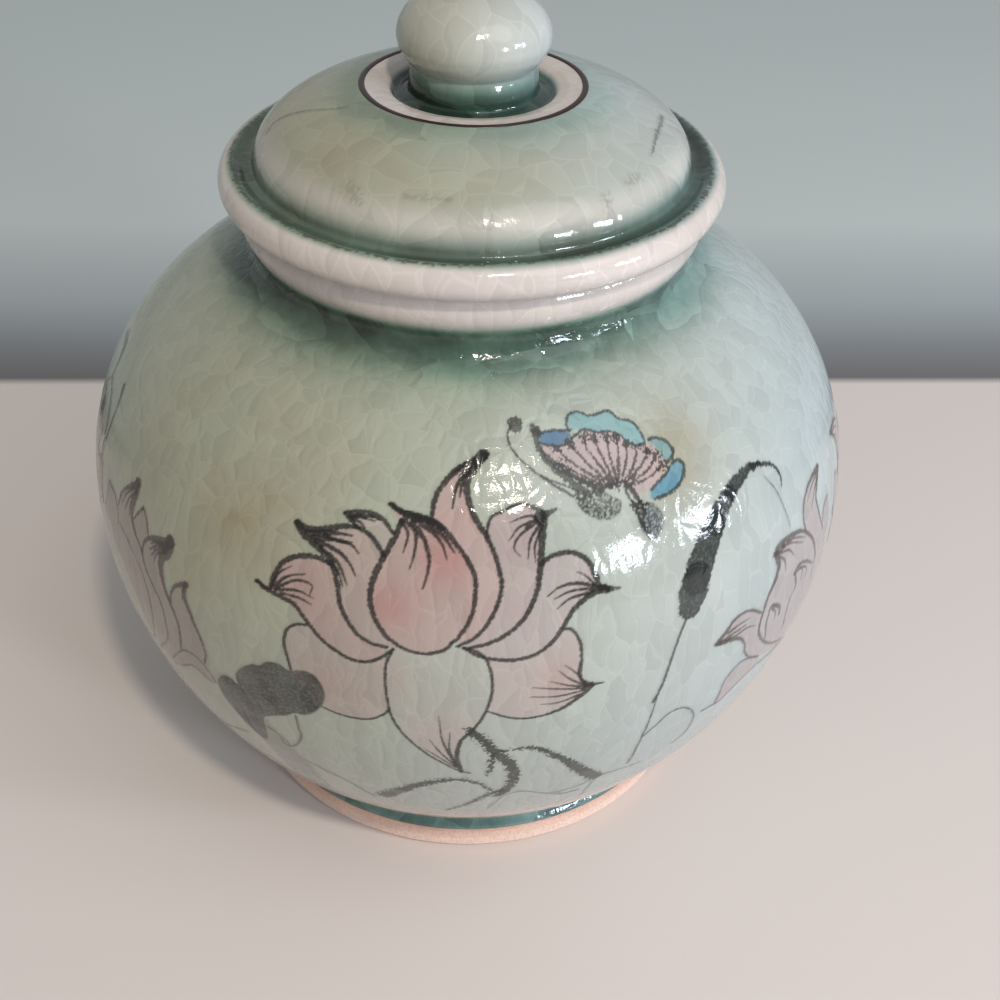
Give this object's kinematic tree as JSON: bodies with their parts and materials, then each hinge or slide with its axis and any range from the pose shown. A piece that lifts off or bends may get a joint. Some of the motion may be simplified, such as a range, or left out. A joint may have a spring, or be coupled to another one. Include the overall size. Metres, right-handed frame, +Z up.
{
  "type": "lidded ceramic jar",
  "caption": "Round stoneware jar with a crackled celadon glaze, a bare clay foot, a rolled lip and a domed lift-off lid with a ball knob.",
  "frame": {"origin": "centre of the foot, on the surface that the jar stands on", "axes": "+Z up along the axis on which the jar and lid were turned; the painted lotus faces -Y"},
  "size_m": [0.15, 0.15, 0.1632],
  "materials": {
    "stoneware": "biscuit stoneware, matt and slightly gritty",
    "foot_clay": "bare turned clay, flashed orange-pink in the kiln, matt",
    "celadon_glaze": "glossy pale green celadon with a fine crackle, teal where it pools and white on the lips",
    "inside_glaze": "thin glossy pale green glaze with a fine crackle",
    "iron_oxide": "brushed iron-brown line under a thin gloss"
  },
  "bodies": {
    "jar": {"jar_body": "stoneware", "foot_ring": "foot_clay", "jar_glaze": "celadon_glaze", "inner_glaze": "inside_glaze"},
    "lid": {"lid_body": "stoneware", "knob": "stoneware", "lid_glaze": "celadon_glaze", "iron_line": "iron_oxide"}
  },
  "joints": [
    {"name": "lid_lift", "type": "slide", "parent": "jar", "child": "lid", "axis": [0, 0, 1], "range_m": [0, 0.04]}
  ]
}
